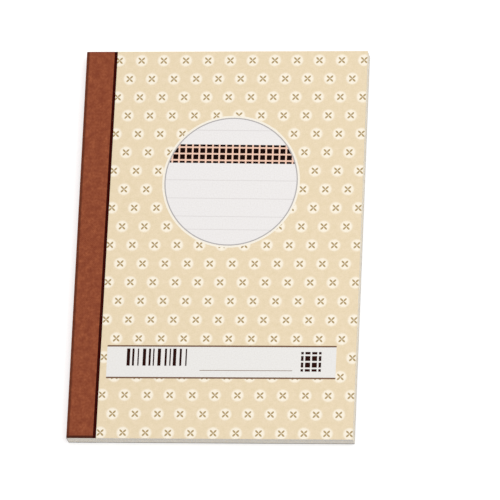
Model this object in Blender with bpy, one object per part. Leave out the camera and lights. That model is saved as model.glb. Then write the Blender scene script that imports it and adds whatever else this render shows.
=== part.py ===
"""A5 carbonless duplicate book, closed and lying on its back cover.

Fifty two-part sets are stapled at the left between a printed card cover and a grey board, and
a strip of book cloth is wrapped round the stapled spine. The front cover and the leaves bend
upwards at one crease beside the cloth; the board and the bound margins stay flat.
Lengths are in metres: +X runs from spine to fore edge, +Y to the head, +Z out of the front cover.
"""

import math

import bmesh
import bpy
from mathutils import Matrix, Vector

MM = 0.001

# Trimmed size of the book
BOOK_WIDTH = 148.0 * MM
BOOK_HEIGHT = 210.0 * MM

# Paper, card and board
SHEET_THICKNESS = 0.065 * MM
COVER_THICKNESS = 0.35 * MM
BOARD_THICKNESS = 0.90 * MM
SHIELD_THICKNESS = 0.30 * MM
SHIELD_MARGIN = 1.5 * MM  # how far the loose shield stays inside the leaves

# The pad: sets counted from the front cover, each a top copy over a duplicate
SET_COUNT = 50
LOOSE_SETS = 10  # sets made leaf by leaf; the shield lies under the last of them
SETS_PER_BUNDLE = 5  # the sets below are joined in bundles

# Cloth round the spine, trimmed with the book at head and tail
TAPE_THICKNESS = 0.20 * MM
TAPE_FLAP = 14.3 * MM  # from the spine over the front, and the same over the back
TAPE_CORNER_STEPS = 4

# Crease beside the cloth, where the cover and the leaves bend
CREASE_FROM_SPINE = 15.0 * MM

# Staples of flat wire
STAPLE_COUNT = 2
STAPLE_SPACING = 110.0 * MM
STAPLE_FROM_SPINE = 6.0 * MM
STAPLE_CROWN = 12.0 * MM
STAPLE_CLINCH = 4.5 * MM  # length of each leg bent in under the board
WIRE_WIDTH = 0.60 * MM
WIRE_THICKNESS = 0.25 * MM

# Clearances
SHEET_AIR = 0.005 * MM  # between one sheet and the next
SEAT_GAP = 0.02 * MM  # between pieces that are glued or pressed together
WIRE_GAP = 0.02 * MM  # round a staple in its hole
CREASE_GAP = 0.15 * MM  # either side of the bending line
AXIS_RISE = 0.05 * MM  # bending line over the highest face beside it
CUT_PAST = 1.0 * MM  # how far a cutting tool runs past the edges it crosses

# Places across the book
SPINE_X = -BOOK_WIDTH / 2
FORE_X = BOOK_WIDTH / 2
BOUND_X = SPINE_X + TAPE_THICKNESS + SEAT_GAP  # spine edge of card, sheets and board
CREASE_X = SPINE_X + CREASE_FROM_SPINE
STUB_END_X = CREASE_X - CREASE_GAP
LEAF_START_X = CREASE_X + CREASE_GAP
TAPE_END_X = SPINE_X + TAPE_FLAP
HEAD_Y = BOOK_HEIGHT / 2
TAIL_Y = -HEAD_Y

# Levels through the bound margin, from the table up
REBATE_Z = TAPE_THICKNESS + SEAT_GAP  # step pressed into the board for the cloth
PAD_BOTTOM = BOARD_THICKNESS + SEAT_GAP
SHEET_PITCH = SHEET_THICKNESS + SHEET_AIR
STUBS_TOP = PAD_BOTTOM + 2 * SET_COUNT * SHEET_PITCH - SHEET_AIR
STRIP_TOP = STUBS_TOP + SEAT_GAP + COVER_THICKNESS
TAPE_TOP = STRIP_TOP + SEAT_GAP + TAPE_THICKNESS

# Levels through the leaves: the shield lifts what lies on it
SHIELD_LIFT = SHIELD_THICKNESS + SHEET_AIR
LEAVES_TOP = STUBS_TOP + SHIELD_LIFT
COVER_TOP = LEAVES_TOP + SEAT_GAP + COVER_THICKNESS
AXIS_Z = max(TAPE_TOP, COVER_TOP) + AXIS_RISE


def start_clean():
    """Empty the scene and give it one collection for the parts and one for the cutters."""
    for item in list(bpy.data.objects):
        bpy.data.objects.remove(item, do_unlink=True)
    made = []
    for name in ("carbonless_duplicate_book", "cutters"):
        group = bpy.data.collections.new(name)
        bpy.context.scene.collection.children.link(group)
        made.append(group)
    return made


PARTS, CUTTERS = start_clean()


def finish(name, colour, roughness, metallic=0.0):
    """A plain material with one colour, given as linear red, green and blue."""
    made = bpy.data.materials.new(name)
    made.use_nodes = True
    shader = made.node_tree.nodes["Principled BSDF"]
    shader.inputs["Base Color"].default_value = (*colour, 1.0)
    shader.inputs["Roughness"].default_value = roughness
    shader.inputs["Metallic"].default_value = metallic
    return made


COVER_CARD = finish("cream_cover_card", (0.84, 0.71, 0.51), 0.55)
GREY_BOARD = finish("grey_board", (0.38, 0.35, 0.32), 0.90)
BOOK_CLOTH = finish("brown_book_cloth", (0.27, 0.077, 0.036), 0.80)
WHITE_PAPER = finish("white_top_copy_paper", (0.90, 0.90, 0.88), 0.85)
TINTED_PAPER = finish("pale_yellow_duplicate_paper", (0.93, 0.85, 0.67), 0.85)
PAD_PAPER = finish("mixed_sheet_edges", (0.91, 0.87, 0.77), 0.85)
SHIELD_CARD = finish("buff_shield_card", (0.64, 0.48, 0.27), 0.80)
STEEL_WIRE = finish("staple_wire", (0.55, 0.55, 0.57), 0.35, 1.0)


def cutter(thing):
    """Move an object among the cutters, which only shape other objects."""
    PARTS.objects.unlink(thing)
    CUTTERS.objects.link(thing)
    thing.hide_render = True
    thing.display_type = "WIRE"
    return thing


def cut(thing, tool):
    """Take the tool's shape out of a part."""
    step = thing.modifiers.new("cut_" + tool.name, "BOOLEAN")
    step.operation = "DIFFERENCE"
    step.solver = "EXACT"
    step.object = tool


def slab(name, low, high, material, pivot=None):
    """A flat rectangular piece between two corners; its origin is its pivot, or its centre."""
    low = Vector(low)
    high = Vector(high)
    centre = (low + high) / 2
    origin = pivot.location.copy() if pivot else centre
    shape = bmesh.new()
    place = Matrix.Translation(centre - origin) @ Matrix.Diagonal((*(high - low), 1.0))
    bmesh.ops.create_cube(shape, size=1.0, matrix=place)
    mesh = bpy.data.meshes.new(name)
    shape.to_mesh(mesh)
    shape.free()
    mesh.materials.append(material)
    piece = bpy.data.objects.new(name, mesh)
    PARTS.objects.link(piece)
    if pivot:
        piece.parent = pivot
    else:
        piece.location = origin
    return piece


def cut_from_sheet(name, outline, thickness, material, rotation, place=(0.0, 0.0, 0.0)):
    """A flat outline given a thickness either side of its plane, as a closed mesh."""
    curve = bpy.data.curves.new(name, "CURVE")
    curve.dimensions = "2D"
    curve.fill_mode = "BOTH"
    curve.extrude = thickness / 2
    line = curve.splines.new("POLY")
    line.points.add(len(outline) - 1)
    for point, (along, up) in zip(line.points, outline):
        point.co = (along, up, 0.0, 1.0)
    line.use_cyclic_u = True
    drawn = bpy.data.objects.new(name + "_outline", curve)
    PARTS.objects.link(drawn)
    bpy.context.view_layer.update()

    solid = drawn.evaluated_get(bpy.context.evaluated_depsgraph_get())
    mesh = bpy.data.meshes.new_from_object(solid)
    bpy.data.objects.remove(drawn, do_unlink=True)
    shape = bmesh.new()
    shape.from_mesh(mesh)
    bmesh.ops.remove_doubles(shape, verts=shape.verts, dist=SHEET_AIR / 10)
    bmesh.ops.recalc_face_normals(shape, faces=shape.faces)
    shape.to_mesh(mesh)
    shape.free()
    mesh.name = name
    mesh.materials.clear()
    mesh.materials.append(material)
    piece = bpy.data.objects.new(name, mesh)
    piece.rotation_euler = rotation
    piece.location = place
    PARTS.objects.link(piece)
    return piece


# Turns an outline drawn flat so that it stands across the book, or along the spine
ACROSS_BOOK = (math.pi / 2, 0.0, 0.0)
ALONG_SPINE = (math.pi / 2, 0.0, math.pi / 2)


def staple_outline(gap):
    """Crown, two legs and two clinched ends of a staple, grown all round by a gap."""
    top = STRIP_TOP + gap
    bottom = REBATE_Z - gap
    thick = WIRE_THICKNESS + 2 * gap
    side = STAPLE_CROWN / 2 + gap
    tip = STAPLE_CROWN / 2 - STAPLE_CLINCH - gap
    right = [
        (side, top),
        (side, bottom),
        (tip, bottom),
        (tip, bottom + thick),
        (side - thick, bottom + thick),
        (side - thick, top - thick),
    ]
    left = [(-along, up) for along, up in reversed(right)]
    return right + left


def staple_places():
    """Where the staples stand along the spine, evenly either side of the middle."""
    first = -STAPLE_SPACING * (STAPLE_COUNT - 1) / 2
    return [first + STAPLE_SPACING * number for number in range(STAPLE_COUNT)]


def make_staples():
    """Each staple, with the larger shape that makes room for it in card, paper and board."""
    holes = []
    for number, along in enumerate(staple_places(), start=1):
        place = (SPINE_X + STAPLE_FROM_SPINE, along, 0.0)
        cut_from_sheet(
            f"staple_{number}", staple_outline(0.0), WIRE_WIDTH, STEEL_WIRE, ALONG_SPINE, place
        )
        room = cut_from_sheet(
            f"staple_room_{number}",
            staple_outline(WIRE_GAP),
            WIRE_WIDTH + 2 * WIRE_GAP,
            STEEL_WIRE,
            ALONG_SPINE,
            place,
        )
        holes.append(cutter(room))
    return holes


def tape_outline():
    """Cloth folded sharply over both spine edges, its outside turning on the inner corner."""
    inside_x = SPINE_X + TAPE_THICKNESS
    upper = TAPE_TOP - TAPE_THICKNESS
    lower = TAPE_THICKNESS
    quarter = [math.pi / 2 * step / TAPE_CORNER_STEPS for step in range(TAPE_CORNER_STEPS + 1)]
    outside = [(TAPE_END_X, TAPE_TOP)]
    for turn in quarter:
        reach = TAPE_THICKNESS * math.sin(turn)
        outside.append((inside_x - reach, upper + TAPE_THICKNESS * math.cos(turn)))
    for turn in quarter:
        reach = TAPE_THICKNESS * math.cos(turn)
        outside.append((inside_x - reach, lower - TAPE_THICKNESS * math.sin(turn)))
    outside.append((TAPE_END_X, 0.0))
    inside = [(TAPE_END_X, lower), (inside_x, lower), (inside_x, upper), (TAPE_END_X, upper)]
    return outside + inside


def make_binding():
    """Everything held by the staples: cover strip, sheet stubs, board and the cloth."""
    holes = make_staples()
    strip = slab(
        "front_cover_bound_strip",
        (BOUND_X, TAIL_Y, STUBS_TOP + SEAT_GAP),
        (STUB_END_X, HEAD_Y, STRIP_TOP),
        COVER_CARD,
    )
    stubs = slab(
        "bound_sheet_stubs",
        (BOUND_X, TAIL_Y, PAD_BOTTOM),
        (STUB_END_X, HEAD_Y, STUBS_TOP),
        PAD_PAPER,
    )
    board = slab(
        "back_board",
        (BOUND_X, TAIL_Y, 0.0),
        (FORE_X, HEAD_Y, BOARD_THICKNESS),
        GREY_BOARD,
    )
    step = slab(
        "board_step",
        (SPINE_X, TAIL_Y - CUT_PAST, -CUT_PAST),
        (TAPE_END_X + SEAT_GAP, HEAD_Y + CUT_PAST, REBATE_Z),
        GREY_BOARD,
    )
    cut(board, cutter(step))
    for piece in (strip, stubs, board):
        for hole in holes:
            cut(piece, hole)
    cut_from_sheet("spine_tape", tape_outline(), BOOK_HEIGHT, BOOK_CLOTH, ACROSS_BOOK)


def sheet_top(sheet):
    """Upper face of a sheet beyond the crease, counted from 0 under the front cover."""
    lift = SHIELD_LIFT if sheet < 2 * LOOSE_SETS else 0.0
    return STUBS_TOP - sheet * SHEET_PITCH + lift


def leaf(name, first_sheet, last_sheet, material, pivot):
    """One sheet, or several joined, from the crease to the fore edge."""
    return slab(
        name,
        (LEAF_START_X, TAIL_Y, sheet_top(last_sheet) - SHEET_THICKNESS),
        (FORE_X, HEAD_Y, sheet_top(first_sheet)),
        material,
        pivot,
    )


def make_leaves(pivot):
    """Loose sets leaf by leaf, the shield under them, then the rest of the pad in bundles."""
    for number in range(1, LOOSE_SETS + 1):
        upper = 2 * (number - 1)
        leaf(f"top_copy_{number:02d}", upper, upper, WHITE_PAPER, pivot)
        leaf(f"duplicate_{number:02d}", upper + 1, upper + 1, TINTED_PAPER, pivot)

    for first in range(LOOSE_SETS + 1, SET_COUNT + 1, SETS_PER_BUNDLE):
        last = min(first + SETS_PER_BUNDLE - 1, SET_COUNT)
        leaf(f"sets_{first:02d}_to_{last:02d}", 2 * (first - 1), 2 * last - 1, PAD_PAPER, pivot)

    under_shield = sheet_top(2 * LOOSE_SETS) + SHEET_AIR
    slab(
        "writing_shield",
        (LEAF_START_X + SHIELD_MARGIN, TAIL_Y + SHIELD_MARGIN, under_shield),
        (FORE_X - SHIELD_MARGIN, HEAD_Y - SHIELD_MARGIN, under_shield + SHIELD_THICKNESS),
        SHIELD_CARD,
    )


def make_front_cover(pivot):
    """The part of the cover card that swings, from the crease to the fore edge."""
    slab(
        "front_cover",
        (LEAF_START_X, TAIL_Y, LEAVES_TOP + SEAT_GAP),
        (FORE_X, HEAD_Y, COVER_TOP),
        COVER_CARD,
        pivot,
    )


crease_axis = bpy.data.objects.new("crease_axis", None)
crease_axis.location = (CREASE_X, 0.0, AXIS_Z)
PARTS.objects.link(crease_axis)

make_binding()
make_leaves(crease_axis)
make_front_cover(crease_axis)
bpy.context.view_layer.update()
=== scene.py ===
"""Looks of an A5 carbonless duplicate book: card cover, cloth spine, paper sets and grey board."""

import math

import bmesh
import bpy
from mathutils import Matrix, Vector


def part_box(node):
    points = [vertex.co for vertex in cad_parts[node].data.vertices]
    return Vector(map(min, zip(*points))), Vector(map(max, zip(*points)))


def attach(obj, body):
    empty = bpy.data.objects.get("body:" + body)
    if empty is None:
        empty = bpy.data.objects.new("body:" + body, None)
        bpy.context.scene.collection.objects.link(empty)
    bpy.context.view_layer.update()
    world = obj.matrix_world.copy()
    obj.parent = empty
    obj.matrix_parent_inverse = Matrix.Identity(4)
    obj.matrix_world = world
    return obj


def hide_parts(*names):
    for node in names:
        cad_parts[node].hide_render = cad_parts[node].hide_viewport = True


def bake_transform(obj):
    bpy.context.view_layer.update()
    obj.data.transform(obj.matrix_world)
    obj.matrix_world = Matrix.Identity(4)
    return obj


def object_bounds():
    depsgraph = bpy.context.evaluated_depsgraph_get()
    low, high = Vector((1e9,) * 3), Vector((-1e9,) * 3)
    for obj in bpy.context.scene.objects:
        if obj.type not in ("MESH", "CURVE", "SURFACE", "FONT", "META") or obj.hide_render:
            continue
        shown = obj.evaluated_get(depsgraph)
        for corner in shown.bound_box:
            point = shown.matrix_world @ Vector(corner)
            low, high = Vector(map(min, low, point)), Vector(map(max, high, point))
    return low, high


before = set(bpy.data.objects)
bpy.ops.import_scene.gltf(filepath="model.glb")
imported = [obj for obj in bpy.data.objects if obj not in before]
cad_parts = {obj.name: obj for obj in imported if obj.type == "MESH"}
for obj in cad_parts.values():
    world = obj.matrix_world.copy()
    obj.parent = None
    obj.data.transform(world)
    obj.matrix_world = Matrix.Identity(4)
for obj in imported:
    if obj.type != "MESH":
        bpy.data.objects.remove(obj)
cad_box = [list(corner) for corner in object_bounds()]


# Studio: a plain white table in an even white room, lit by one broad soft lamp.
# The lamp hangs past the fore edge, a little towards the head, and leans in on the book.
MM = 0.001
scene = bpy.context.scene
scene.view_settings.view_transform = "Standard"


def linear(hex_colour):
    """An sRGB hex colour as the linear RGBA that a shader takes."""
    channels = [int(hex_colour[start:start + 2], 16) / 255 for start in (1, 3, 5)]
    return [c / 12.92 if c <= 0.04045 else ((c + 0.055) / 1.055) ** 2.4 for c in channels] + [1.0]


def add(tree, kind, inputs=None, stops=None, **settings):
    """Adds a node, sets it, links or fills its inputs, and returns its outputs.

    Stops are the places and colours of a colour ramp.
    """
    node = tree.nodes.new("ShaderNode" + kind)
    for name, value in settings.items():
        setattr(node, name, value)
    if stops:
        node.color_ramp.elements.remove(node.color_ramp.elements[1])
        node.color_ramp.elements[0].position, node.color_ramp.elements[0].color = stops[0]
        for position, colour in stops[1:]:
            node.color_ramp.elements.new(position).color = colour
    for socket, value in (inputs or {}).items():
        if isinstance(value, bpy.types.NodeSocket):
            tree.links.new(value, node.inputs[socket])
        else:
            node.inputs[socket].default_value = value
    return node.outputs


def blank_material(name):
    """A new material with an empty node tree."""
    material = bpy.data.materials.new(name)
    material.use_nodes = True
    material.node_tree.nodes.clear()
    return material


ROOM_LIGHT = 0.6
BACKDROP_WHITE = 1.0
room = bpy.data.worlds.new("white_room")
room.use_nodes = True
tree = room.node_tree
tree.nodes.clear()
seen = add(tree, "LightPath")
room_level = add(tree, "MapRange", {"Value": seen["Is Camera Ray"], "To Min": ROOM_LIGHT,
                                    "To Max": BACKDROP_WHITE})
room_glow = add(tree, "Background", {"Color": linear("#FFFFFF"), "Strength": room_level[0]})
add(tree, "OutputWorld", {"Surface": room_glow[0]})
scene.world = room

LAMP_SIDE = 1.6
LAMP_PLACE = Vector((0.35, 0.1, 1.7))
LAMP_WATTS = 15.7
lamp_data = bpy.data.lights.new("soft_lamp", "AREA")
lamp_data.size = LAMP_SIDE
lamp_data.energy = LAMP_WATTS
lamp = bpy.data.objects.new("soft_lamp", lamp_data)
lamp.location = LAMP_PLACE
lamp.rotation_euler = (-LAMP_PLACE).to_track_quat("-Z", "Y").to_euler()
scene.collection.objects.link(lamp)

# White melamine table top: matt and even. A little of its white reaches the lens and mirrors
# only, like a lit backdrop.
TABLE_HALF = 4.0
TABLE_DROP = 0.05 * MM
TABLE_GLOW = 0.4
table_top = blank_material("white_melamine")
tree = table_top.node_tree
seen = add(tree, "LightPath")
mirrored = add(tree, "Math", {0: seen["Is Glossy Ray"], 1: seen["Is Transmission Ray"]},
               operation="MAXIMUM")
looked_at = add(tree, "Math", {0: seen["Is Camera Ray"], 1: mirrored[0]}, operation="MAXIMUM")
glow_level = add(tree, "Math", {0: looked_at[0], 1: TABLE_GLOW}, operation="MULTIPLY")
glow = add(tree, "Emission", {"Color": linear("#FFFFFF"), "Strength": glow_level[0]})
matt_white = add(tree, "BsdfDiffuse", {"Color": linear("#E8E8E8"), "Roughness": 0.5})
table_surface = add(tree, "AddShader", {0: glow[0], 1: matt_white[0]})
add(tree, "OutputMaterial", {"Surface": table_surface[0]})
table_z = cad_box[0][2] - TABLE_DROP
bpy.ops.mesh.primitive_plane_add(size=2 * TABLE_HALF, location=(0, 0, table_z))
table = bpy.context.object
table.name = "table_top"
table.data.materials.append(table_top)

# The photograph's viewpoint: a long lens from about 3 m, looking down 71 degrees past the tail.
CAMERA_PLACE = (0.4389, -0.9349, 2.9293)
CAMERA_TURN_DEGREES = (17.851, 7.439, 2.483)
LENS_MM = 432.0
SENSOR_MM = 36.0
camera_data = bpy.data.cameras.new("photo_camera")
camera_data.sensor_width = SENSOR_MM
camera_data.lens = LENS_MM
camera = bpy.data.objects.new("photo_camera", camera_data)
camera.location = CAMERA_PLACE
camera.rotation_euler = [math.radians(degrees) for degrees in CAMERA_TURN_DEGREES]
scene.collection.objects.link(camera)
scene.camera = camera


# Back cover: one stiff grey board, cut with the leaves. It is pressed from waste paper, and its
# back margin is pared thinner where the cloth is glued under it.
BOARD_SOFTNESS = 0.12 * MM
CLOTH_ROOM = 0.22 * MM
PARED_PAST_CLOTH = 0.3 * MM
PARED_SLOPE = 0.1 * MM
EDGE_STEPS = 3
SHARP_DEGREES = 40.0
SIDES_OF_STOCK = 3
OUTER, INNER, EDGE = range(SIDES_OF_STOCK)
head_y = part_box("front_cover")[1].y
tail_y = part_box("front_cover")[0].y
fore_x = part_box("front_cover")[1].x
bound_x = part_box("bound_sheet_stubs")[0].x
stub_end_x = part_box("bound_sheet_stubs")[1].x
spine_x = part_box("spine_tape")[0].x
tape_end_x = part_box("spine_tape")[1].x


def softened(low, high, softness):
    """Places from low to high, each with how far the faces draw in there to round the edges."""
    turns = [step / EDGE_STEPS * math.pi / 2 for step in range(EDGE_STEPS + 1)]
    near = [(low + softness * (1 - math.cos(turn)), softness * (1 - math.sin(turn)))
            for turn in turns]
    far = [(high + low - place, inset) for place, inset in reversed(near)]
    return near + far


def lay_stock(bm, stations, rows, run_start=0.0):
    """Adds a strip of flat stock to a mesh, with an outer face, an inner face and cut edges.

    A station is (inner point, outer point, inset), points in X and Z; a row is (y, inset).
    The map "stock_mm" holds the millimetres along the stations from run_start, and the
    millimetres down from the head.
    """
    stock_mm = bm.loops.layers.uv.get("stock_mm") or bm.loops.layers.uv.new("stock_mm")
    runs = [run_start]
    for before, after in zip(stations, stations[1:]):
        runs.append(runs[-1] + (Vector(after[1]) - Vector(before[1])).length)
    places = {}
    grid = []
    for y, row_inset in rows:
        line = []
        for (inner, outer, station_inset), run in zip(stations, runs):
            middle = (Vector(inner) + Vector(outer)) / 2
            half = (Vector(outer) - Vector(inner)) / 2
            half = half * (1 - max(row_inset, station_inset) / half.length)
            pair = [bm.verts.new((point.x, y, point.y))
                    for point in (middle - half, middle + half)]
            places.update((vert, (run / MM, (head_y - y) / MM)) for vert in pair)
            line.append(pair)
        grid.append(line)
    quads = []
    for row, next_row in zip(grid, grid[1:]):
        for here, there, over, up in zip(row, row[1:], next_row[1:], next_row):
            quads.append((OUTER, [here[1], there[1], over[1], up[1]]))
            quads.append((INNER, [up[0], over[0], there[0], here[0]]))
        quads.append((EDGE, [row[0][0], row[0][1], next_row[0][1], next_row[0][0]]))
        quads.append((EDGE, [row[-1][1], row[-1][0], next_row[-1][0], next_row[-1][1]]))
    for here, there in zip(grid[0], grid[0][1:]):
        quads.append((EDGE, [here[0], there[0], there[1], here[1]]))
    for here, there in zip(grid[-1], grid[-1][1:]):
        quads.append((EDGE, [here[1], there[1], there[0], here[0]]))
    for side, corners in quads:
        face = bm.faces.new(corners)
        face.material_index = side
        face.smooth = True
        for loop in face.loops:
            loop[stock_mm].uv = places[loop.vert]


def make_piece(name, bm, finishes):
    """Turns a mesh of flat stock into a piece, with its outer, inner and edge finishes."""
    bmesh.ops.recalc_face_normals(bm, faces=bm.faces)
    mesh = bpy.data.meshes.new(name)
    bm.to_mesh(mesh)
    bm.free()
    mesh.set_sharp_from_angle(angle=math.radians(SHARP_DEGREES))
    for finish in finishes:
        mesh.materials.append(finish)
    piece = bpy.data.objects.new(name, mesh)
    scene.collection.objects.link(piece)
    return piece


# Recycled grey board, rolled: a dull grey sheet with paler and darker fibres, rough to the light.
FIBRE_MM = 0.8
FLECK_MM = 2.2
grey_board = blank_material("recycled_grey_board")
tree = grey_board.node_tree
place = add(tree, "UVMap", uv_map="stock_mm")[0]
fibre = add(tree, "TexNoise", {"Vector": place, "Scale": 1 / FIBRE_MM, "Detail": 4.0,
                               "Roughness": 0.65})["Fac"]
board_grey = add(tree, "ValToRGB", {"Fac": fibre},
                 [(0.3, linear("#706962")), (0.7, linear("#89827A"))])[0]
fleck = add(tree, "TexVoronoi", {"Vector": place, "Scale": 1 / FLECK_MM,
                                 "Randomness": 1.0})["Distance"]
fleck_here = add(tree, "MapRange", {"Value": fleck, "From Min": 0.14, "From Max": 0.05,
                                    "To Max": 0.55})[0]
board_colour = add(tree, "Mix", {"Factor": fleck_here, "A": board_grey, "B": linear("#554F48")},
                   data_type="RGBA")["Result"]
board_rough = add(tree, "MapRange", {"Value": fibre, "To Min": 0.78, "To Max": 0.92})[0]
board_relief = add(tree, "Bump", {"Height": fibre, "Strength": 0.5, "Distance": 0.03 * MM})[0]
board_surface = add(tree, "BsdfPrincipled", {"Base Color": board_colour, "Roughness": board_rough,
                                             "Specular IOR Level": 0.3, "Normal": board_relief})[0]
add(tree, "OutputMaterial", {"Surface": board_surface})

board_low, board_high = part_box("back_board")
pared_z = board_low.z + CLOTH_ROOM
pared_end_x = tape_end_x + PARED_PAST_CLOTH
slope_end_x = pared_end_x + PARED_SLOPE
board_stations = []
for x, inset in softened(bound_x, fore_x, BOARD_SOFTNESS):
    low_z = pared_z if x < pared_end_x else board_low.z
    board_stations.append(((x, low_z), (x, board_high.z), inset))
past_first_edge = EDGE_STEPS + 1
board_stations[past_first_edge:past_first_edge] = [
    ((pared_end_x, pared_z), (pared_end_x, board_high.z), 0.0),
    ((slope_end_x, board_low.z), (slope_end_x, board_high.z), 0.0),
]
board_mesh = bmesh.new()
lay_stock(board_mesh, board_stations, softened(tail_y, head_y, BOARD_SOFTNESS))
board_finishes = [grey_board] * SIDES_OF_STOCK
board = make_piece("grey_back_board", board_mesh, board_finishes)
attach(board, "binding")
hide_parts("back_board")


# Sets of leaves: fifty white top copies, each over a yellow duplicate, printed in 5 mm squares.
# Every sheet runs whole from the spine to the fore edge; a top copy is cut with a perforation
# at the crease.
SHEETS_PER_SET = 2
SETS_IN_BOOK = 50
LOOSE_SETS = 10
SETS_IN_BUNDLE = 5
SHEETS_IN_BUNDLE = SETS_IN_BUNDLE * SHEETS_PER_SET
BEND_LENGTH = 12.0 * MM
BEND_STATIONS = 12
BEND_CROWDING = 1.4
TEAR_PAST_CREASE = 0.1 * MM
SHEET_RISE_LENGTH = 1.75 * MM
PERFORATION_PITCH = 2.0 * MM
TIE_LENGTH = 0.6 * MM
SHEET_SLIP = 0.015 * MM
BUNDLE_SLIP = 0.03 * MM
GOLDEN_SHARE = 0.618
TRIMMED_SIDES = 3
SHEET_PHASE = 1 / 3
BUNDLE_PHASE = 1 / 5
stubs_low_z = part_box("bound_sheet_stubs")[0].z
stub_pitch = (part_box("bound_sheet_stubs")[1].z - stubs_low_z) / (SETS_IN_BOOK * SHEETS_PER_SET)
leaf_start_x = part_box("top_copy_01")[0].x
crease_x = (stub_end_x + leaf_start_x) / 2
tear_x = crease_x + TEAR_PAST_CREASE
sheet_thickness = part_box("top_copy_01")[1].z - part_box("top_copy_01")[0].z

# Carbonless paper, machine finished: smooth, matt and nearly opaque, with 5 mm squares in thin
# offset ink. The ink lines are 0.12 mm on the sheet; they are drawn 0.25 mm wide, so that they
# show.
SQUARE_MM = 5.0
LINE_HALF_MM = 0.125
PULP_MM = 1.2
WHITE = ("#F9F8F5", "#F3F1EC")
YELLOW = ("#FBEDD0", "#F7E5C2")


def paper(name, pale, shade, line_ink=None):
    """Carbonless paper between two tones, with printed squares where a line colour is given."""
    material = blank_material(name)
    tree = material.node_tree
    place = add(tree, "UVMap", uv_map="stock_mm")[0]
    pulp = add(tree, "TexNoise", {"Vector": place, "Scale": 1 / PULP_MM, "Detail": 5.0})["Fac"]
    colour = add(tree, "ValToRGB", {"Fac": pulp}, [(0.3, linear(shade)), (0.7, linear(pale))])[0]
    if line_ink:
        for axis in (0, 1):
            run = add(tree, "SeparateXYZ", {0: place})[axis]
            folded = add(tree, "Math", {0: run, 1: SQUARE_MM / 2}, operation="PINGPONG")[0]
            line = add(tree, "Math", {0: folded, 1: LINE_HALF_MM}, operation="LESS_THAN")[0]
            colour = add(tree, "Mix", {"Factor": line, "A": colour, "B": linear(line_ink)},
                         data_type="RGBA")["Result"]
    rough = add(tree, "MapRange", {"Value": pulp, "To Min": 0.62, "To Max": 0.78})[0]
    relief = add(tree, "Bump", {"Height": pulp, "Strength": 0.3, "Distance": 0.01 * MM})[0]
    surface = add(tree, "BsdfPrincipled", {"Base Color": colour, "Roughness": rough,
                                           "Specular IOR Level": 0.25, "Normal": relief})[0]
    add(tree, "OutputMaterial", {"Surface": surface})
    return material


white_squared = paper("white_carbonless_paper_squared", *WHITE, "#B9BCD6")
white_plain = paper("white_carbonless_paper", *WHITE)
white_sheet = [white_squared, white_plain, white_plain]
yellow_squared = paper("yellow_carbonless_paper_squared", *YELLOW, "#B9BCC4")
yellow_plain = paper("yellow_carbonless_paper", *YELLOW)
yellow_sheet = [yellow_squared, yellow_plain, yellow_plain]


def smooth_step(share):
    """0 to 1 along a soft S, for a share that is cut to that range."""
    share = min(max(share, 0.0), 1.0)
    return share * share * (3 - 2 * share)


def sheet_stations(places, stub_z, leaf_z):
    """Stations of one sheet across the book: level at its stub, then on a soft rise to its leaf."""
    stations = []
    for x in places:
        z = stub_z + (leaf_z - stub_z) * smooth_step((x - stub_end_x) / SHEET_RISE_LENGTH)
        stations.append(((x, z), (x, z + sheet_thickness), 0.0))
    return stations


def trimmed_edges(number):
    """Fore edge, and rows at tail and head, of a sheet that slipped a little in the guillotine."""
    slips = []
    for side in range(TRIMMED_SIDES):
        sheet_share = (number * GOLDEN_SHARE + side * SHEET_PHASE) % 1.0
        bundle_share = (number // SHEETS_IN_BUNDLE * GOLDEN_SHARE + side * BUNDLE_PHASE) % 1.0
        slips.append(SHEET_SLIP * sheet_share + BUNDLE_SLIP * bundle_share)
    return fore_x - slips[0], [(tail_y + slips[1], 0.0), (head_y - slips[2], 0.0)]


def lay_leaf(bm, number, first_x, stub_z, leaf_z):
    """A sheet from first_x to the fore edge, its stations crowded where it bends at the crease."""
    last_x, rows = trimmed_edges(number)
    bend = [crease_x + BEND_LENGTH * (step / BEND_STATIONS) ** BEND_CROWDING
            for step in range(BEND_STATIONS + 1)]
    places = [x for x in sorted({stub_end_x, leaf_start_x, *bend}) if x > first_x]
    places = [first_x] + places + [last_x]
    lay_stock(bm, sheet_stations(places, stub_z, leaf_z), rows, first_x - spine_x)


def lay_stub(bm, number, stub_z):
    """The bound margin of a top copy, from the spine to the perforation."""
    stations = sheet_stations([bound_x, stub_end_x], stub_z, stub_z)
    lay_stock(bm, stations, trimmed_edges(number)[1], bound_x - spine_x)


def lay_ties(bm, number, from_x, to_x, stub_z, leaf_z):
    """The ties of a perforation: short bridges of paper between the cuts, from tail to head."""
    (low_y, _), (high_y, _) = trimmed_edges(number)[1]
    places = [x for x in (stub_end_x, crease_x, tear_x, leaf_start_x) if from_x <= x <= to_x]
    stations = sheet_stations(places, stub_z, leaf_z)
    count = round((head_y - tail_y) / PERFORATION_PITCH)
    for tie in range(count + 1):
        y = tail_y + tie * PERFORATION_PITCH
        rows = [(max(y - TIE_LENGTH / 2, low_y), 0.0), (min(y + TIE_LENGTH / 2, high_y), 0.0)]
        lay_stock(bm, stations, rows, from_x - spine_x)


def lay_sheet(bm, number, stub_z, leaf_z, perforated):
    """One whole sheet: a duplicate in one strip, a top copy as stub, ties and leaf."""
    lay_leaf(bm, number, leaf_start_x if perforated else bound_x, stub_z, leaf_z)
    if perforated:
        lay_stub(bm, number, stub_z)
        lay_ties(bm, number, stub_end_x, leaf_start_x, stub_z, leaf_z)


def bend_at_crease(piece, body):
    """Bakes a sheet's place into its mesh, and hides its node and the bound stubs of the CAD model.
    """
    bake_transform(piece)
    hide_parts(body, "bound_sheet_stubs")


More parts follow.
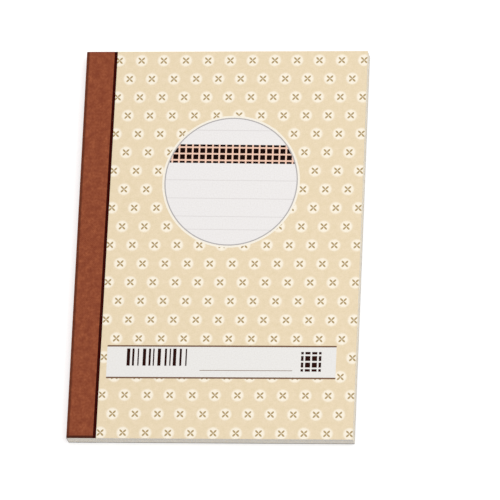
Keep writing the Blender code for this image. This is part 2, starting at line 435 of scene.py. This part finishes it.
# The lower forty sets lie in bundles of five, ten sheets each, still pressed together.
sheet_number = 0
for first_set in range(SETS_IN_BOOK - SETS_IN_BUNDLE + 1, LOOSE_SETS, -SETS_IN_BUNDLE):
    node = f"sets_{first_set}_to_{first_set + SETS_IN_BUNDLE - 1}"
    low_z, high_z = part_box(node)[0].z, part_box(node)[1].z
    leaf_pitch = (high_z - low_z - sheet_thickness) / (SHEETS_IN_BUNDLE - 1)
    bundle_mesh = bmesh.new()
    for sheet in range(SHEETS_IN_BUNDLE):
        is_top_copy = sheet % SHEETS_PER_SET == 1
        first_face = len(bundle_mesh.faces)
        stub_z = stubs_low_z + sheet_number * stub_pitch
        lay_sheet(bundle_mesh, sheet_number, stub_z, low_z + sheet * leaf_pitch, is_top_copy)
        if is_top_copy:
            bundle_mesh.faces.ensure_lookup_table()
            for face in bundle_mesh.faces[first_face:]:
                face.material_index += SIDES_OF_STOCK
        sheet_number += 1
    bundle = make_piece("bundle_" + node, bundle_mesh, yellow_sheet + white_sheet)
    bend_at_crease(bundle, node)

# The upper ten sets are loose leaves. The tenth top copy tears off, so its leaf and its stub are
# two pieces.
for set_number in range(LOOSE_SETS, 0, -1):
    for kind in ("duplicate", "top_copy"):
        node = f"{kind}_{set_number:02d}"
        is_top_copy = kind == "top_copy"
        is_torn = is_top_copy and set_number == LOOSE_SETS
        stub_z = stubs_low_z + sheet_number * stub_pitch
        leaf_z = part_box(node)[0].z
        finishes = white_sheet if is_top_copy else yellow_sheet
        leaf_mesh = bmesh.new()
        if is_torn:
            stub_mesh = bmesh.new()
            lay_stub(stub_mesh, sheet_number, stub_z)
            lay_ties(stub_mesh, sheet_number, stub_end_x, tear_x, stub_z, leaf_z)
            stub = make_piece("stub_" + node, stub_mesh, finishes)
            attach(stub, "binding")
            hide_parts("bound_sheet_stubs")
            lay_leaf(leaf_mesh, sheet_number, leaf_start_x, stub_z, leaf_z)
            lay_ties(leaf_mesh, sheet_number, tear_x, leaf_start_x, stub_z, leaf_z)
            leaf = make_piece("leaf_" + node, leaf_mesh, finishes)
            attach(leaf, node)
            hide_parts(node)
        else:
            lay_sheet(leaf_mesh, sheet_number, stub_z, leaf_z, is_top_copy)
            leaf = make_piece("leaf_" + node, leaf_mesh, finishes)
            if set_number < LOOSE_SETS:
                bend_at_crease(leaf, node)
            else:
                bend_at_crease(leaf, node)
        sheet_number += 1


# Writing shield: a loose card under the set in use, which stops the writing from copying further
# down. It is cut a little smaller than the leaves, and is only laid in.
SHIELD_SOFTNESS = 0.06 * MM
shield_low, shield_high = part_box("writing_shield")

# Manila card, machine glazed: buff, with long faint fibres and a slight shine.
MANILA_FIBRE_MM = (1.5, 7.5)
manila = blank_material("buff_manila_card")
tree = manila.node_tree
place = add(tree, "UVMap", uv_map="stock_mm")[0]
fibre_scale = (1 / MANILA_FIBRE_MM[0], 1 / MANILA_FIBRE_MM[1], 1.0)
stretched = add(tree, "VectorMath", {0: place, 1: fibre_scale}, operation="MULTIPLY")[0]
fibre = add(tree, "TexNoise", {"Vector": stretched, "Scale": 1.0, "Detail": 6.0,
                               "Roughness": 0.6})["Fac"]
buff = add(tree, "ValToRGB", {"Fac": fibre},
           [(0.3, linear("#D9BE8C")), (0.7, linear("#E6D0A4"))])[0]
glaze = add(tree, "MapRange", {"Value": fibre, "To Min": 0.42, "To Max": 0.58})[0]
relief = add(tree, "Bump", {"Height": fibre, "Strength": 0.3, "Distance": 0.015 * MM})[0]
manila_surface = add(tree, "BsdfPrincipled", {"Base Color": buff, "Roughness": glaze,
                                              "Normal": relief})[0]
add(tree, "OutputMaterial", {"Surface": manila_surface})

shield_stations = [((x, shield_low.z), (x, shield_high.z), inset)
                   for x, inset in softened(shield_low.x, shield_high.x, SHIELD_SOFTNESS)]
shield_rows = softened(shield_low.y, shield_high.y, SHIELD_SOFTNESS)
shield_mesh = bmesh.new()
lay_stock(shield_mesh, shield_stations, shield_rows, shield_low.x - spine_x)
shield_finishes = [manila] * SIDES_OF_STOCK
shield = make_piece("manila_writing_shield", shield_mesh, shield_finishes)
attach(shield, "writing_shield")
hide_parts("writing_shield")


# Front cover: one card, from under the cloth at the spine over a pressed crease to the fore edge.
# It is printed all over in offset, trimmed with the leaves, and bends at the crease.
COVER_SOFTNESS = 0.08 * MM
CREASE_PAST_CLOTH = 0.45 * MM
CREASE_WIDTH = 1.35 * MM
CREASE_STATIONS = 8
crease_start_x = tape_end_x + CREASE_PAST_CLOTH
crease_end_x = crease_start_x + CREASE_WIDTH
cover_low, cover_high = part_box("front_cover")
strip_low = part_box("front_cover_bound_strip")[0]
card_thickness = cover_high.z - cover_low.z

# Printed card: coated stock with a matt offset print, smooth and dull, with dense dark inks.
# The print is a cream ground with pale flowered spots, a round ruled panel with a squared band,
# and a white strip. Its places are in mm from the spine and down from the head.
SPOT_PITCH_MM = 11.7
SPOT_ROW_MM = 10.1
SPOT_RADIUS_MM = 3.1
SPOT_BLUR_MM = 0.7
PETALS = 4
PETAL_MM = 2.3
PETAL_BLUR_MM = 0.25
PETAL_SLIMNESS = 2.0
PANEL_CENTRE_MM = (79.3, 71.5, 0.0)
PANEL_RADIUS_MM = 34.55
PANEL_LINE_HALF_MM = 0.32
PANEL_RIM_MM = 1.4
PANEL_TILT = -0.012
PANEL_RULES_MM = (43.6, 70.9, 80.8, 90.6, 97.7)
PANEL_RULE_HALF_MM = 0.2
CHECK_PITCH_MM = 3.5
CHECK_LINE_HALF_MM = 0.43
CHECK_CROSSING_MM = (79.5, 56.5)
BAND_HALF_MM = 5.1
STRIP_MIDDLE_MM = (78.5, 169.1)
STRIP_HALF_MM = (59.4, 8.5)
STRIP_RULE_HALF_MM = 0.42
BARS_START_MM = 29.4
BARS_MIDDLE_MM = 166.6
BARS_HALF_MM = 4.6
BAR_WIDTHS_MM = (1.7, 1.1, 0.7) * 4
BAR_GAPS_MM = (1.1, 1.7, 2.0, 1.4) * 3
NAME_LINE_MIDDLE_MM = (91.5, 173.6)
NAME_LINE_HALF_MM = (24.0, 0.15)
SIGN_MIDDLE_MM = (125.0, 168.75)
SIGN_HALF_MM = 5.25
CREASE_LINE_MM = 15.05
CREASE_LINE_HALF_MM = 0.9
CREASE_SKEW = 0.0045
MOTTLE_MM = 2.5
GRAIN_MM = 0.7
printed_card = blank_material("printed_cover_card")
tree = printed_card.node_tree
place = add(tree, "UVMap", uv_map="stock_mm")[0]
across = add(tree, "SeparateXYZ", {0: place})["X"]
down = add(tree, "SeparateXYZ", {0: place})["Y"]


def stripes(tree, run, places):
    """1 where run lies on one of the stripes, each a middle and a half width in mm, else 0."""
    mask = 0.0
    for middle, half in places:
        here = add(tree, "Math", {0: run, 1: middle, 2: half}, operation="COMPARE")[0]
        mask = add(tree, "Math", {0: here, 1: mask}, operation="MAXIMUM")[0]
    return mask


# Staggered rows of pale spots, each with a small flower of four petals.
row = add(tree, "Math", {0: down, 1: SPOT_ROW_MM}, operation="DIVIDE")[0]
row_number = add(tree, "Math", {0: row}, operation="FLOOR")[0]
odd_row = add(tree, "Math", {0: row_number, 1: 2.0}, operation="FLOORED_MODULO")[0]
shift = add(tree, "Math", {0: odd_row, 1: 0.5}, operation="MULTIPLY")[0]
column = add(tree, "Math", {0: across, 1: 1 / SPOT_PITCH_MM, 2: shift}, operation="MULTIPLY_ADD")[0]
column_share = add(tree, "Math", {0: column}, operation="FRACT")[0]
row_share = add(tree, "Math", {0: row}, operation="FRACT")[0]
spot_x = add(tree, "Math", {0: column_share, 1: SPOT_PITCH_MM, 2: -SPOT_PITCH_MM / 2},
             operation="MULTIPLY_ADD")[0]
spot_y = add(tree, "Math", {0: row_share, 1: SPOT_ROW_MM, 2: -SPOT_ROW_MM / 2},
             operation="MULTIPLY_ADD")[0]
spot_place = add(tree, "CombineXYZ", {"X": spot_x, "Y": spot_y})[0]
spot_reach = add(tree, "VectorMath", {0: spot_place}, operation="LENGTH")["Value"]
spot = add(tree, "MapRange", {"Value": spot_reach, "From Min": SPOT_RADIUS_MM + SPOT_BLUR_MM,
                              "From Max": SPOT_RADIUS_MM - SPOT_BLUR_MM},
           interpolation_type="SMOOTHSTEP")[0]
turn = add(tree, "Math", {0: spot_y, 1: spot_x}, operation="ARCTAN2")[0]
lobe_turn = add(tree, "Math", {0: turn, 1: PETALS / 2}, operation="MULTIPLY")[0]
wave = add(tree, "Math", {0: lobe_turn}, operation="SINE")[0]
lobe = add(tree, "Math", {0: wave}, operation="ABSOLUTE")[0]
slim_lobe = add(tree, "Math", {0: lobe, 1: PETAL_SLIMNESS}, operation="POWER")[0]
petal_edge = add(tree, "Math", {0: slim_lobe, 1: PETAL_MM}, operation="MULTIPLY")[0]
past_petal = add(tree, "Math", {0: spot_reach, 1: petal_edge}, operation="SUBTRACT")[0]
petal = add(tree, "MapRange", {"Value": past_petal, "From Min": PETAL_BLUR_MM,
                               "From Max": -PETAL_BLUR_MM})[0]

# The round panel, a little out of square, with its writing rules and its band of dark squares.
from_panel = add(tree, "VectorMath", {0: place, 1: PANEL_CENTRE_MM}, operation="DISTANCE")["Value"]
panel_rim = add(tree, "Math", {0: from_panel, 1: PANEL_RADIUS_MM + PANEL_RIM_MM},
                operation="LESS_THAN")[0]
panel = add(tree, "Math", {0: from_panel, 1: PANEL_RADIUS_MM}, operation="LESS_THAN")[0]
panel_line = stripes(tree, from_panel, [(PANEL_RADIUS_MM, PANEL_LINE_HALF_MM)])
from_centre = add(tree, "Math", {0: across, 1: PANEL_CENTRE_MM[0]}, operation="SUBTRACT")[0]
panel_down = add(tree, "Math", {0: from_centre, 1: PANEL_TILT, 2: down},
                 operation="MULTIPLY_ADD")[0]
ruled = stripes(tree, panel_down, [(rule, PANEL_RULE_HALF_MM) for rule in PANEL_RULES_MM])
panel_rule = add(tree, "Math", {0: ruled, 1: panel}, operation="MULTIPLY")[0]
band_height = stripes(tree, panel_down, [(CHECK_CROSSING_MM[1], BAND_HALF_MM)])
band = add(tree, "Math", {0: band_height, 1: panel}, operation="MULTIPLY")[0]

# The white strip between two rules, with bars, a name line and a small sign of squares.
strip_width = stripes(tree, across, [(STRIP_MIDDLE_MM[0], STRIP_HALF_MM[0])])
strip_height = stripes(tree, down, [(STRIP_MIDDLE_MM[1], STRIP_HALF_MM[1])])
strip = add(tree, "Math", {0: strip_width, 1: strip_height}, operation="MULTIPLY")[0]
strip_rules = [(STRIP_MIDDLE_MM[1] + side * STRIP_HALF_MM[1], STRIP_RULE_HALF_MM)
               for side in (-1, 1)]
strip_edges = stripes(tree, down, strip_rules)
strip_rule = add(tree, "Math", {0: strip_edges, 1: strip_width}, operation="MULTIPLY")[0]
bar_places = []
bar_start = BARS_START_MM
for width, gap in zip(BAR_WIDTHS_MM, BAR_GAPS_MM):
    bar_places.append((bar_start + width / 2, width / 2))
    bar_start += width + gap
bar_width = stripes(tree, across, bar_places)
bar_height = stripes(tree, down, [(BARS_MIDDLE_MM, BARS_HALF_MM)])
bar = add(tree, "Math", {0: bar_width, 1: bar_height}, operation="MULTIPLY")[0]
name_width = stripes(tree, across, [(NAME_LINE_MIDDLE_MM[0], NAME_LINE_HALF_MM[0])])
name_height = stripes(tree, down, [(NAME_LINE_MIDDLE_MM[1], NAME_LINE_HALF_MM[1])])
name_line = add(tree, "Math", {0: name_height, 1: name_width}, operation="MULTIPLY")[0]
squares = []
for crossing, runs in ((CHECK_CROSSING_MM, (across, panel_down)), (SIGN_MIDDLE_MM, (across, down))):
    sides = []
    for middle, run in zip(crossing, runs):
        from_line = add(tree, "Math", {0: run, 1: middle}, operation="SUBTRACT")[0]
        folded = add(tree, "Math", {0: from_line, 1: CHECK_PITCH_MM / 2}, operation="PINGPONG")[0]
        off_line = add(tree, "Math", {0: folded, 1: CHECK_LINE_HALF_MM}, operation="GREATER_THAN")
        sides.append(off_line[0])
    squares.append(add(tree, "Math", {0: sides[0], 1: sides[1]}, operation="MULTIPLY")[0])
band_square = add(tree, "Math", {0: squares[0], 1: band}, operation="MULTIPLY")[0]
sign_width = stripes(tree, across, [(SIGN_MIDDLE_MM[0], SIGN_HALF_MM)])
sign_height = stripes(tree, down, [(SIGN_MIDDLE_MM[1], SIGN_HALF_MM)])
sign = add(tree, "Math", {0: sign_width, 1: sign_height}, operation="MULTIPLY")[0]
sign_square = add(tree, "Math", {0: squares[1], 1: sign}, operation="MULTIPLY")[0]

# The dark line beside the cloth, along the crease, a little askew like the cloth: partly a printed
# rule, partly painted shade of the crease groove at the cloth's edge.
crease_run = add(tree, "Math", {0: down, 1: CREASE_SKEW, 2: across}, operation="MULTIPLY_ADD")[0]
crease_middle = CREASE_LINE_MM + CREASE_SKEW * (head_y - tail_y) / MM / 2
crease_rule_and_shade = stripes(tree, crease_run, [(crease_middle, CREASE_LINE_HALF_MM)])

# The inks, and the painted shade in the crease, go down one over the other.
mottle = add(tree, "TexNoise", {"Vector": place, "Scale": 1 / MOTTLE_MM, "Detail": 4.0})["Fac"]
print_colour = add(tree, "ValToRGB", {"Fac": mottle},
                   [(0.3, linear("#EBD9B7")), (0.7, linear("#F1DFC0"))])[0]
for mask, ink in (
    (spot, "#FFF6E4"),
    (petal, "#B39A6C"),
    (panel_rim, "#FBF4E6"),
    (panel, "#F1EEED"),
    (panel_rule, "#E2DEDD"),
    (band, "#F6CDB7"),
    (band_square, "#160200"),
    (panel_line, "#B8B4B4"),
    (strip, "#EFEDEA"),
    (strip_rule, "#7A5C48"),
    (bar, "#2A0B05"),
    (name_line, "#7A5C48"),
    (sign_square, "#2A0B05"),
    # the crease line: dark ink and painted shade of the crease groove
    (crease_rule_and_shade, "#360400"),
):
    print_colour = add(tree, "Mix", {"Factor": mask, "A": print_colour, "B": linear(ink)},
                       data_type="RGBA")["Result"]
card_grain = add(tree, "TexNoise", {"Vector": place, "Scale": 1 / GRAIN_MM, "Detail": 3.0})["Fac"]
fibre_shade = add(tree, "MapRange", {"Value": card_grain, "From Min": 0.35, "From Max": 0.7,
                                     "To Max": 0.09})[0]
print_colour = add(tree, "Mix", {"Factor": fibre_shade, "A": print_colour, "B": linear("#8E7B62")},
                   data_type="RGBA", blend_type="MULTIPLY")["Result"]
print_rough = add(tree, "MapRange", {"Value": card_grain, "To Min": 0.52, "To Max": 0.64})[0]
print_relief = add(tree, "Bump", {"Height": card_grain, "Strength": 0.2, "Distance": 0.01 * MM})[0]
print_surface = add(tree, "BsdfPrincipled", {"Base Color": print_colour, "Roughness": print_rough,
                                             "Specular IOR Level": 0.04, "Normal": print_relief})[0]
add(tree, "OutputMaterial", {"Surface": print_surface})
card_back = paper("uncoated_card_back", "#F1ECE0", "#EAE4D6")

cover_stations = []
for x, inset in softened(bound_x, fore_x, COVER_SOFTNESS):
    low_z = strip_low.z if x < crease_start_x else cover_low.z
    cover_stations.append(((x, low_z), (x, low_z + card_thickness), inset))
crease_stations = []
for step in range(CREASE_STATIONS + 1):
    x = crease_start_x + (crease_end_x - crease_start_x) * step / CREASE_STATIONS
    low_z = strip_low.z + (cover_low.z - strip_low.z) * smooth_step(step / CREASE_STATIONS)
    crease_stations.append(((x, low_z), (x, low_z + card_thickness), 0.0))
cover_stations[past_first_edge:past_first_edge] = crease_stations
cover_rows = softened(tail_y, head_y, COVER_SOFTNESS)
cover_mesh = bmesh.new()
lay_stock(cover_mesh, cover_stations, cover_rows, bound_x - spine_x)

# The map "OFBake" lays the cover's look out in one square picture, for baking. Most of this picture
# goes to the printed face, so that its thin rules stay sharp.
PRINT_SHARE = 0.84
BACK_SHARE = 0.13
GUTTER_SHARE = 0.005
EDGE_SHARE = 0.01
bake_map = cover_mesh.loops.layers.uv.new("OFBake")
stock_mm = cover_mesh.loops.layers.uv["stock_mm"]
printed_faces = [face for face in cover_mesh.faces if face.material_index == OUTER]
printed_verts = {vert for face in printed_faces for vert in face.verts}
card_runs = [loop[stock_mm].uv.x for face in cover_mesh.faces for loop in face.loops]
card_start, card_end = min(card_runs), max(card_runs)
for face in cover_mesh.faces:
    runs = [loop[stock_mm].uv.x for loop in face.loops]
    falls = [loop[stock_mm].uv.y for loop in face.loops]
    crosses_book = max(runs) - min(runs) > max(falls) - min(falls)
    for loop, run, fall in zip(face.loops, runs, falls):
        across_share = (run - card_start) / (card_end - card_start)
        down_share = fall * MM / (head_y - tail_y)
        if face.material_index == OUTER:
            loop[bake_map].uv = (across_share * PRINT_SHARE, down_share)
        elif face.material_index == INNER:
            back_start = PRINT_SHARE + GUTTER_SHARE
            loop[bake_map].uv = (back_start + across_share * BACK_SHARE, down_share)
        else:
            edge_place = 1 - EDGE_SHARE if loop.vert in printed_verts else 1.0
            loop[bake_map].uv = (edge_place, across_share if crosses_book else down_share)
cover_finishes = [printed_card, card_back, card_back]
cover = make_piece("printed_front_cover", cover_mesh, cover_finishes)
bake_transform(cover)
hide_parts("front_cover", "front_cover_bound_strip")


# Staples: two wire staples through cover, stubs and board, clinched at the back and hidden by the
# cloth. Galvanised steel wire, drawn: bright grey, with fine marks along the wire.
WIRE_MARK = (0.15 * MM, 1.5 * MM, 0.15 * MM)
wire = blank_material("galvanised_steel_wire")
tree = wire.node_tree
place = add(tree, "TexCoord")["Object"]
drawn = add(tree, "VectorMath", {0: place, 1: [1 / size for size in WIRE_MARK]},
            operation="MULTIPLY")[0]
marks = add(tree, "TexNoise", {"Vector": drawn, "Scale": 1.0, "Detail": 3.0})["Fac"]
zinc = add(tree, "ValToRGB", {"Fac": marks},
           [(0.3, linear("#A9ABAC")), (0.7, linear("#C9CBCC"))])[0]
wire_rough = add(tree, "MapRange", {"Value": marks, "To Min": 0.25, "To Max": 0.42})[0]
wire_relief = add(tree, "Bump", {"Height": marks, "Strength": 0.2, "Distance": 0.01 * MM})[0]
wire_surface = add(tree, "BsdfPrincipled", {"Base Color": zinc, "Metallic": 1.0,
                                            "Roughness": wire_rough, "Normal": wire_relief})[0]
add(tree, "OutputMaterial", {"Surface": wire_surface})
for name in ("staple_1", "staple_2"):
    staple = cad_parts[name]
    staple.data.materials.clear()
    staple.data.materials.append(wire)


# Spine tape: one strip of brown book cloth, glued from the front over the spine to the back board.
# It is cut with straight edges, folded round the spine, and covers the staples.
TAPE_THICKNESS = 0.2 * MM
FOLD_RADIUS = 0.32 * MM
FOLD_STEPS = 6
TAPE_SOFTNESS = 0.05 * MM
tape_low, tape_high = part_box("spine_tape")
flap_length = tape_end_x - spine_x

# Book cloth, woven and starch filled: matt brown, with a fine even weave and slight clouds of
# colour.
# Painted shade darkens it along the spine fold, at the tail end and, less, at the head end.
THREAD_MM = 0.55
CLOUD_MM = 3.5
SPECK_MM = 1.1
# Places and strengths of the painted shade along the spine fold and at the ends of the tape.
EDGE_DARK_MM = (0.3, 1.0)
FOLD_DARK_MM = 0.5
TAIL_DARK_MM = 0.7
HEAD_PALE_MM = 0.6
END_PAINTED_SHADE = 0.86
FOLD_PAINTED_SHADE = 0.6
cloth = blank_material("brown_book_cloth")
tree = cloth.node_tree
place = add(tree, "UVMap", uv_map="stock_mm")[0]
along = add(tree, "SeparateXYZ", {0: place})["X"]
down = add(tree, "SeparateXYZ", {0: place})["Y"]
threads = []
for run in (along, down):
    phase = add(tree, "Math", {0: run, 1: math.pi / THREAD_MM}, operation="MULTIPLY")[0]
    threads.append(add(tree, "Math", {0: phase}, operation="SINE")[0])
weave = add(tree, "Math", {0: threads[0], 1: threads[1]}, operation="MULTIPLY")[0]
cloud = add(tree, "TexNoise", {"Vector": place, "Scale": 1 / CLOUD_MM, "Detail": 2.0})["Fac"]
speck = add(tree, "TexNoise", {"Vector": place, "Scale": 1 / SPECK_MM, "Detail": 3.0})["Fac"]
cloudy = add(tree, "ValToRGB", {"Fac": cloud},
             [(0.3, linear("#8A442C")), (0.7, linear("#A75C3B"))])[0]
speck_share = add(tree, "MapRange", {"Value": speck, "From Min": 0.35, "From Max": 0.65,
                                     "To Max": 0.6})[0]
specked = add(tree, "Mix", {"Factor": speck_share, "A": cloudy, "B": linear("#803A21")},
              data_type="RGBA")["Result"]
valley = add(tree, "MapRange", {"Value": weave, "From Min": 0.3, "From Max": -1.0,
                                "To Max": 0.25})[0]
woven = add(tree, "Mix", {"Factor": valley, "A": specked, "B": linear("#5C2917")},
            data_type="RGBA")["Result"]
# Painted shade: darker towards a dark brown along the spine fold on the front, at the tail end and,
# less, at the head end.
fold_run = (flap_length - FOLD_RADIUS) / MM - FOLD_DARK_MM
past_fold = add(tree, "Math", {0: along, 1: fold_run}, operation="SUBTRACT")[0]
from_fold = add(tree, "Math", {0: past_fold}, operation="ABSOLUTE")[0]
tail_run = (head_y - tape_low.y) / MM - TAIL_DARK_MM
from_tail = add(tree, "Math", {0: tail_run, 1: down}, operation="SUBTRACT")[0]
from_head = add(tree, "Math", {0: down, 1: HEAD_PALE_MM}, operation="ADD")[0]
from_end = add(tree, "Math", {0: from_tail, 1: from_head}, operation="MINIMUM")[0]
painted_edge_shade = 0.0
for from_edge, darkness in ((from_end, END_PAINTED_SHADE), (from_fold, FOLD_PAINTED_SHADE)):
    edge_shade = add(tree, "MapRange", {"Value": from_edge, "From Min": EDGE_DARK_MM[0],
                                        "From Max": EDGE_DARK_MM[1], "To Min": darkness,
                                        "To Max": 0.0})[0]
    painted_edge_shade = add(tree, "Math", {0: edge_shade, 1: painted_edge_shade}, operation="MAXIMUM")[0]
cloth_colour = add(tree, "Mix", {"Factor": painted_edge_shade, "A": woven, "B": linear("#330F05")},
                   data_type="RGBA")["Result"]
cloth_rough = add(tree, "MapRange", {"Value": speck, "To Min": 0.68, "To Max": 0.85})[0]
cloth_relief = add(tree, "Bump", {"Height": weave, "Strength": 0.35, "Distance": 0.04 * MM})[0]
cloth_surface = add(tree, "BsdfPrincipled", {"Base Color": cloth_colour, "Roughness": cloth_rough,
                                             "Specular IOR Level": 0.12, "Normal": cloth_relief})[0]
add(tree, "OutputMaterial", {"Surface": cloth_surface})

tape_stations = []
flap_ends = softened(0.0, flap_length, TAPE_SOFTNESS)[:past_first_edge]
for back, inset in flap_ends:
    x = tape_end_x - back
    tape_stations.append(((x, tape_high.z - TAPE_THICKNESS), (x, tape_high.z), inset))
folds = ((tape_high.z - FOLD_RADIUS, math.pi / 2), (tape_low.z + FOLD_RADIUS, math.pi))
for centre_z, first_turn in folds:
    for step in range(FOLD_STEPS + 1):
        angle = first_turn + step / FOLD_STEPS * math.pi / 2
        inner, outer = [(spine_x + FOLD_RADIUS + radius * math.cos(angle),
                         centre_z + radius * math.sin(angle))
                        for radius in (FOLD_RADIUS - TAPE_THICKNESS, FOLD_RADIUS)]
        tape_stations.append((inner, outer, 0.0))
for back, inset in reversed(flap_ends):
    x = tape_end_x - back
    tape_stations.append(((x, tape_low.z + TAPE_THICKNESS), (x, tape_low.z), inset))
tape_mesh = bmesh.new()
lay_stock(tape_mesh, tape_stations, softened(tape_low.y, tape_high.y, TAPE_SOFTNESS))
# The front flap is glued down a little askew.
for vert in tape_mesh.verts:
    if vert.co.z > tape_high.z - FOLD_RADIUS:
        vert.co.x += CREASE_SKEW * vert.co.y * (vert.co.x - spine_x) / flap_length
tape = make_piece("cloth_spine_tape", tape_mesh, [cloth] * SIDES_OF_STOCK)
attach(tape, "binding")
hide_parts("spine_tape")
